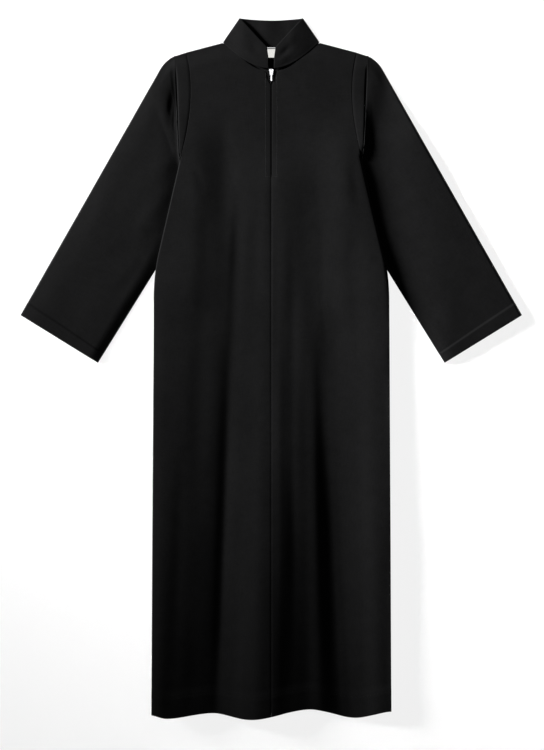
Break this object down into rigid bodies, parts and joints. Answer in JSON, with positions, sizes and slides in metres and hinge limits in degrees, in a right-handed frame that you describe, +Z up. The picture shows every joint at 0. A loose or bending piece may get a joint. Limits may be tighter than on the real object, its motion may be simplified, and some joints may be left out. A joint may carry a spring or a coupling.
{
  "type": "cassock",
  "caption": "Long black clerical robe laid flat, with a stand collar, wide long sleeves, a short centre-front zip and a skirt that rises in soft flutes.",
  "frame": {"origin": "middle of the garment's length and width, on the surface it lies on", "axes": "+X to the wearer's left, +Y from the hem to the collar, +Z up from the surface through the garment's thickness"},
  "size_m": [1.102, 1.5364, 0.0432],
  "materials": {
    "twill": "matte fine twill",
    "collar_twill": "matte fine twill, stiffened",
    "zip_tape": "woven tape",
    "zip_nylon": "nylon coil",
    "zip_metal": "worn satin metal",
    "label_satin": "woven satin, unprinted"
  },
  "bodies": {
    "cassock": {"back": "twill", "front_left": "twill", "front_right": "twill", "sleeve_left": "twill", "sleeve_right": "twill", "collar": "collar_twill", "zip_tape_left": "zip_tape", "zip_tape_right": "zip_tape", "zip_coil": "zip_nylon", "zip_slider": "zip_metal", "neck_label": "label_satin"},
    "zip_pull": {"zip_pull": "zip_metal"}
  },
  "joints": [
    {"name": "zip_pull_hinge", "type": "hinge", "parent": "cassock", "child": "zip_pull", "pos_m": [0, 0.65171, 0.00775], "axis": [-1, 0, 0], "range_deg": [0, 165]}
  ]
}
